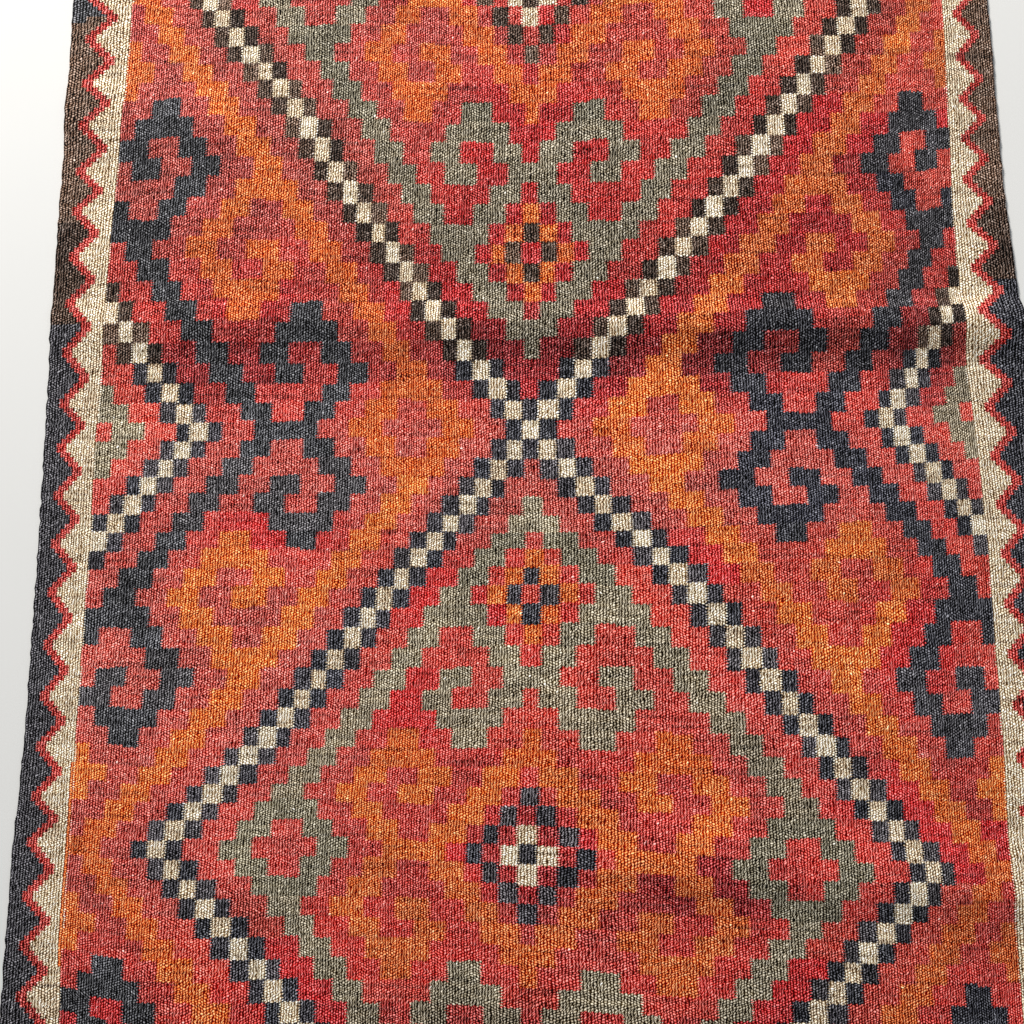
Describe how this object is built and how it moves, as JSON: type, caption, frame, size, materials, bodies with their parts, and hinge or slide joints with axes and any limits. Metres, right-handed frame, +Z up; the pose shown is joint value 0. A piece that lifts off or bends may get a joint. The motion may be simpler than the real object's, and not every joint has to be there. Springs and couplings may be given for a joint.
{
  "type": "flat-woven kilim rug",
  "caption": "Flat-woven kilim rug with stepped lozenges and sawtooth side borders, lying flat with a low fold across it.",
  "frame": {"origin": "on the ground under the middle of the cloth", "axes": "+X across the cloth from the left selvedge to the right one, +Y along the warps towards the far end, +Z up from the ground"},
  "size_m": [0.9081, 1.7241, 0.0105],
  "materials": {
    "wool": "matte slit-tapestry wool weave"
  },
  "bodies": {
    "root": {"kilim": "wool"}
  },
  "joints": []
}
